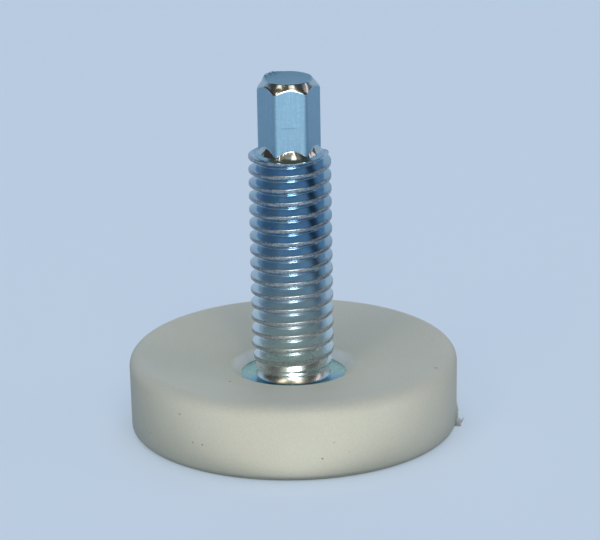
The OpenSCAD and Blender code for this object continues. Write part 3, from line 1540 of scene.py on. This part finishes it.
@dataclass
class Pad:
    """The moulded pad with its dished top. Lengths are in millimetres."""

    rim_r: float
    rim_z: float
    pocket_floor_z: float
    lip_z: float
    draft: float = 0.13
    rim_round: float = 1.5
    floor_round: float = 0.75
    dish_depth: float = 1.7
    lip_r: float = 5.95
    lip_round: float = 0.03
    mouth_round: float = 1.8
    pocket_r: float = 6.5
    sides: int = 256

    @property
    def mouth_z(self) -> float:
        """Height of the mouth's edge."""
        return self.rim_z - self.dish_depth

    @property
    def mouth_r(self) -> float:
        """Radius of the mouth where the dish meets the lead-in, which is cut at 45 degrees."""
        return self.lip_r + self.mouth_z - self.lip_z

    @property
    def dish_angle(self) -> float:
        """Slope of the dish, in degrees: it runs straight from the mouth to the rim's rounding."""
        run = self.rim_r - self.rim_round - self.mouth_r
        rise = self.rim_z - self.rim_round - self.mouth_z
        return math.degrees(math.atan2(rise, run) + math.asin(self.rim_round / math.hypot(run, rise)))

    @property
    def floor_r(self) -> float:
        """Radius at the floor, before its edge is rounded."""
        return self.rim_r - self.draft

    @property
    def corner_z(self) -> float:
        """Height at which the dish would meet the wall in a sharp corner."""
        return self.mouth_z + (self.rim_r - self.mouth_r) * slope_of(self.dish_angle)

    @property
    def corner_r(self) -> float:
        """Radius of that corner, which the mould's draft makes wider than the floor."""
        return self.floor_r + self.draft * self.corner_z / (self.rim_z - self.rim_round)

    def sink(self, pad: Workpiece) -> None:
        """Widen the top for the draft, then sink the dish, the lead-in and the pocket into it.

        Args:
            pad: The plain cylinder, in edit mode.
        """
        pad.pick(Part.FACES, lambda face: face.calc_center_median().z > self.corner_z - 0.01)
        radius, height = self.corner_r, self.corner_z
        widen = radius / self.floor_r
        bpy.ops.transform.resize(value=(widen, widen, 1), center_override=(0, 0, 0))
        for next_r, next_z in (
            (self.mouth_r, self.mouth_z),
            (self.lip_r, self.lip_z),
            (self.pocket_r, self.lip_z),
            (self.pocket_r, self.pocket_floor_z),
        ):
            pad.extrude((0, 0, next_z - height))
            factor = next_r / radius
            bpy.ops.transform.resize(value=(factor, factor, 1), center_override=(0, 0, 0))
            radius, height = next_r, next_z

    def round_edges(self, pad: Workpiece) -> None:
        """Round the rim, the foot, the mouth and the lip.

        Args:
            pad: The sunk pad, in edit mode.
        """
        for ring_r, ring_z, rounding, turn, segments in (
            (self.corner_r, self.corner_z, self.rim_round, 90 + self.dish_angle, 14),
            (self.floor_r, 0.0, self.floor_round, 90, 8),
            (self.mouth_r, self.mouth_z, self.mouth_round, 45 - self.dish_angle, 10),
            (self.lip_r, self.lip_z, self.lip_round, 135, 3),
        ):
            found = pad.pick_ring(ring_r, ring_z)
            if found < self.sides:
                raise ValueError(f"ring at {ring_r} mm, {ring_z} mm has only {found} edges")
            pad.round_off(corner_cut(rounding, turn), segments)

    def build(self) -> bpy.types.Object:
        """Model the pad as one closed mesh.

        Returns:
            The finished pad.
        """
        clear_bench()
        bpy.ops.mesh.primitive_cylinder_add(
            vertices=self.sides, radius=self.floor_r, depth=self.corner_z, location=(0, 0, self.corner_z / 2)
        )
        pad = Workpiece("pad_moulding")
        bpy.ops.object.transform_apply(location=True, rotation=True, scale=True)
        pad.edit()
        self.sink(pad)
        self.round_edges(pad)
        pad.tidy()
        scar = GateScar(wall_r=self.rim_r)
        for piece in (scar.break_face(), scar.stub(), scar.whisker()):
            pad.combine(piece, Solve.JOIN)
        pad.tidy()
        return pad.hand_over()


# ---------------------------------------------------------------------------------------------
# The studio
# ---------------------------------------------------------------------------------------------


def seen_directly(board: Board) -> Signal:
    """Tell what is seen from what only lights the scene.

    Args:
        board: The board that the nodes go on.

    Returns:
        1 for what the camera sees, straight or in metal or glass, and 0 for the rest.
    """
    path = board.node("ShaderNodeLightPath")
    kinds = ("Is Camera Ray", "Is Glossy Ray", "Is Transmission Ray")
    return functools.reduce(Signal.at_least, [Signal(board, path.outputs[kind]) for kind in kinds])


@dataclass(frozen=True)
class Floor:
    """A plain pale floor that the foot stands on.

    Only in reflections, the metal finds a dark band on it well to the right of the foot, and a weaker
    one to the left. A band runs from its near to its far distance, in metres.
    """

    size: float = 6.0
    right_band: Span = (0.040, 0.085)
    right_strength: float = 1.0
    left_band: Span = (0.022, 0.085)
    left_strength: float = 0.5
    near_blur: float = 1.2
    far_blur: float = 1.1
    band_reach: Span = (0.05, 0.02)
    colour: Colour = (0.38, 0.45, 0.52)
    glow: Colour = (0.29, 0.34, 0.37)
    dark: Colour = (0.02, 0.02, 0.02)

    def band(self, side: Signal, span: Span, strength: float) -> Signal:
        """Darken a band on one side.

        Args:
            side: Distance towards that side, in metres.
            span: Where the band starts and ends.
            strength: How dark it is.

        Returns:
            How dark the floor is there, from 0 to 1.
        """
        near, far = span
        return side.fade(near, near * self.near_blur) * side.fade(far * self.far_blur, far) * strength

    def lay(self) -> None:
        """Add the floor."""
        clear_bench()
        bpy.ops.mesh.primitive_plane_add(size=self.size)
        floor = bpy.context.object
        floor.name = "floor"
        material, board = new_board("pale_floor")
        mirrored = Signal(board, board.node("ShaderNodeLightPath").outputs["Is Glossy Ray"])
        x, y, _ = board.split(board.place)
        right = self.band(x, self.right_band, self.right_strength)
        left = self.band(x * -1.0, self.left_band, self.left_strength)
        lit = 1.0 - mirrored * (right + left) * abs(y).fade(*self.band_reach)
        diffuse = board.node("ShaderNodeBsdfDiffuse", None, {"Color": board.mix(lit, self.dark, self.colour)})
        inputs = {"Color": self.glow, "Strength": seen_directly(board) * lit}
        glow = board.node("ShaderNodeEmission", None, inputs)
        board.finish(board.node("ShaderNodeAddShader", None, {0: diffuse.outputs[0], 1: glow.outputs[0]}))
        coat(floor, material)


@dataclass(frozen=True)
class Room:
    """The light that comes from all around, and what bright metal finds to reflect there.

    The spans are parts of a direction: how far it points to the side, to the back or up.
    """

    ambient: Colour = (0.13, 0.20, 0.32)
    backdrop: Colour = (0.49, 0.60, 0.72)
    ceiling: Colour = (0.13, 0.20, 0.27)
    front_low: Colour = (0.46, 0.41, 0.32)
    front_high: Colour = (0.16, 0.115, 0.06)
    dim: Colour = (0.06, 0.06, 0.055)
    doorway: Colour = (0.07, 0.05, 0.04)
    front_start: Span = (0.3, 0.05)
    front_rise: Span = (0.55, 0.8)
    front_width: Span = (0.45, 0.65)
    front_shift: float = 0.05
    door_aside: Span = (0.7, 0.85)
    door_rise: Span = (0.0, 0.15)
    door_depth: Span = (0.5, 0.38)
    ceiling_rise: Span = (0.55, 0.7)
    ceiling_depth: Span = (-0.1, 0.15)
    ceiling_width: Span = (0.55, 0.45)

    def light(self) -> None:
        """Make the world."""
        world = bpy.data.worlds.new("room")
        bpy.context.scene.world = world
        world.use_nodes = True
        board = Board(world.node_tree)
        x, y, z = board.split(board.node("ShaderNodeTexCoord").outputs["Generated"])
        mirrored = Signal(board, board.node("ShaderNodeLightPath").outputs["Is Glossy Ray"])
        front = board.mix(z.fade(*self.front_rise), self.front_low, self.front_high)
        front = board.mix(abs(x + self.front_shift).fade(*self.front_width), front, self.dim)
        walls = board.mix(y.fade(*self.front_start), self.backdrop, front)
        door = abs(x).fade(*self.door_aside) * z.fade(*self.door_rise) * y.fade(*self.door_depth)
        walls = board.mix(door, walls, self.doorway)
        above = z.fade(*self.ceiling_rise) * y.fade(*self.ceiling_depth) * abs(x).fade(*self.ceiling_width)
        walls = board.mix(above, walls, self.ceiling)
        seen = board.mix(mirrored, self.backdrop, walls)
        colour = board.mix(seen_directly(board), self.ambient, seen)
        shader = board.node("ShaderNodeBackground", None, {"Color": colour, "Strength": 1.0})
        board.finish(shader, "ShaderNodeOutputWorld")


def area_lamp(name: str, width: float, height: float, power: float, colour: Colour) -> bpy.types.Object:
    """Add a soft rectangular lamp.

    Args:
        name: Name of the lamp.
        width: Its width, in metres.
        height: Its height, in metres.
        power: Its power, in watts.
        colour: Its colour.

    Returns:
        The lamp, at the origin and facing down.
    """
    data = bpy.data.lights.new(name, "AREA")
    data.shape = "RECTANGLE"
    data.size = width
    data.size_y = height
    data.energy = power
    data.color = colour
    lamp = bpy.data.objects.new(name, data)
    bpy.context.collection.objects.link(lamp)
    return lamp


@dataclass(frozen=True)
class Softbox:
    """A soft lamp that faces the foot. The azimuth is counted from the -Y side towards +X.

    Attributes:
        level: About how bright it makes a white surface that faces it, where 1 is white.
        lean: How far it is turned about the line to the foot, in degrees.
        mirrored: Whether bright metal shows it.
        on_dull: Whether it lights what is not metal.
    """

    name: str
    azimuth: float
    elevation: float
    width: float
    height: float
    level: float
    distance: float = 1.0
    colour: Colour = (1.0, 1.0, 1.0)
    lean: float = 0.0
    mirrored: bool = True
    on_dull: bool = True

    def hang(self, aim: Vector) -> None:
        """Add the lamp.

        Args:
            aim: The point that it faces.
        """
        power = self.level * math.pi**2 * self.distance**2
        lamp = area_lamp(self.name, self.width, self.height, power, self.colour)
        rise = math.radians(self.elevation)
        level = off_axis(math.radians(self.azimuth), math.cos(rise))
        towards = Vector((*level, math.sin(rise)))
        lamp.location = aim + towards * self.distance
        facing = towards.to_track_quat("Z", "Y").to_matrix()
        lamp.rotation_euler = (facing @ Matrix.Rotation(math.radians(self.lean), 3, "Z")).to_euler()
        lamp.visible_glossy = self.mirrored
        lamp.visible_diffuse = self.on_dull


@dataclass(frozen=True)
class BounceCard:
    """A pale card that lies beside the foot and throws light up at it. Metal does not show it.

    Attributes:
        azimuth: Where it lies, in degrees from the -Y side towards +X.
        level: How bright it is, where 1 is white.
        near: Distance from the axis to its near edge, in metres.
        rise: How far it lies over the floor, in metres.
    """

    name: str
    azimuth: float
    width: float
    depth: float
    level: float
    near: float = 0.0195
    rise: float = 0.0004
    colour: Colour = (1.0, 0.96, 0.966)

    def lay(self) -> None:
        """Add the card, facing up."""
        power = self.level * math.pi * self.width * self.depth
        card = area_lamp(self.name, self.width, self.depth, power, self.colour)
        turn = math.radians(self.azimuth)
        card.location = (*off_axis(turn, self.near + self.depth / 2), self.rise)
        card.rotation_euler = (math.pi, 0, turn)
        card.visible_camera = False
        card.visible_glossy = False


@dataclass(frozen=True)
class Camera:
    """A long lens that looks a little down at the foot."""

    lens_mm: float = 280.3
    sensor_mm: float = 36.0
    nearest: float = 0.01
    distance: float = 0.5315
    elevation: float = 19.02
    roll: float = -1.0
    target: tuple[float, float, float] = (0.00095, 0.0, 0.01857)

    def place(self) -> None:
        """Add the camera and make it the scene's own."""
        data = bpy.data.cameras.new("camera")
        data.lens = self.lens_mm
        data.sensor_width = self.sensor_mm
        data.clip_start = self.nearest
        camera = bpy.data.objects.new("camera", data)
        bpy.context.collection.objects.link(camera)
        up = math.radians(self.elevation)
        ahead = Vector((0, math.cos(up), -math.sin(up)))
        level = ahead.to_track_quat("-Z", "Y").to_matrix().to_4x4()
        roll = Matrix.Rotation(math.radians(self.roll), 4, "Z")
        where = Matrix.Translation(Vector(self.target) - ahead * self.distance)
        camera.matrix_world = where @ level @ roll
        bpy.context.scene.camera = camera


def set_studio() -> None:
    """Lay the floor, light the scene and set the view to plain colours."""
    Floor().lay()
    for card in (
        BounceCard("bounce_front", azimuth=0, width=0.26, depth=0.12, level=1.1),
        BounceCard("bounce_left", azimuth=-48, width=0.035, depth=0.04, level=0.12),
        BounceCard("bounce_right", azimuth=50, width=0.035, depth=0.04, level=0.27),
    ):
        card.lay()
    Room().light()
    aim = Vector((0, 0, AIM_HEIGHT))
    for lamp in (
        Softbox("key", azimuth=3, elevation=18, width=0.45, height=0.36, level=0.63, on_dull=False),
        Softbox("fill", azimuth=3, elevation=18, width=0.45, height=0.36, level=0.078, mirrored=False),
        Softbox(
            "overhead", azimuth=0, elevation=88, width=0.8, height=0.8, level=0.289,
            colour=(0.785, 0.806, 1.0), mirrored=False,
        ),
        Softbox(
            "high_left", azimuth=-41, elevation=44, width=0.20, height=0.55, level=0.09,
            colour=(1.0, 0.78, 0.58), lean=38,
        ),
        Softbox(
            "high_right", azimuth=18, elevation=48, width=0.26, height=0.5, level=0.10,
            colour=(1.0, 0.80, 0.62), lean=-10,
        ),
        Softbox(
            "side", azimuth=95, elevation=28, width=0.20, height=0.6, level=0.06,
            colour=(1.0, 0.76, 0.70),
        ),
        Softbox(
            "back", azimuth=180, elevation=35, width=0.8, height=0.5, level=0.13,
            colour=(0.78, 0.87, 1.0), mirrored=False,
        ),
    ):
        lamp.hang(aim)
    bpy.context.scene.view_settings.view_transform = "Standard"


def main() -> None:
    """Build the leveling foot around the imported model."""
    logging.basicConfig(level=logging.INFO, format="%(name)s: %(message)s")
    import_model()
    stud_low, stud_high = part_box("stud")
    pad_low, pad_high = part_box("pad")

    Camera().place()
    set_studio()
    stud_plan = Stud(seat_z=stud_low[2] / MM, tip_z=stud_high[2] / MM)
    stud = stud_plan.build()
    ZincPlate(stud_plan).dress(stud)
    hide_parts("stud")
    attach(stud, "stud")
    log.info("stud: %d faces", len(stud.data.polygons))

    pad_plan = Pad(
        rim_r=(pad_high[1] - pad_low[1]) / 2 / MM,
        rim_z=pad_high[2] / MM,
        pocket_floor_z=stud_low[2] / MM,
        lip_z=stud_plan.flange_top_z + LIP_GAP,
    )
    pad = pad_plan.build()
    IvoryPlastic(wall_r=pad_plan.rim_r, mouth_r=pad_plan.mouth_r).dress(pad)
    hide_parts("pad")
    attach(pad, "pad")
    log.info("pad: %d faces", len(pad.data.polygons))


if __name__ == "__main__":
    main()
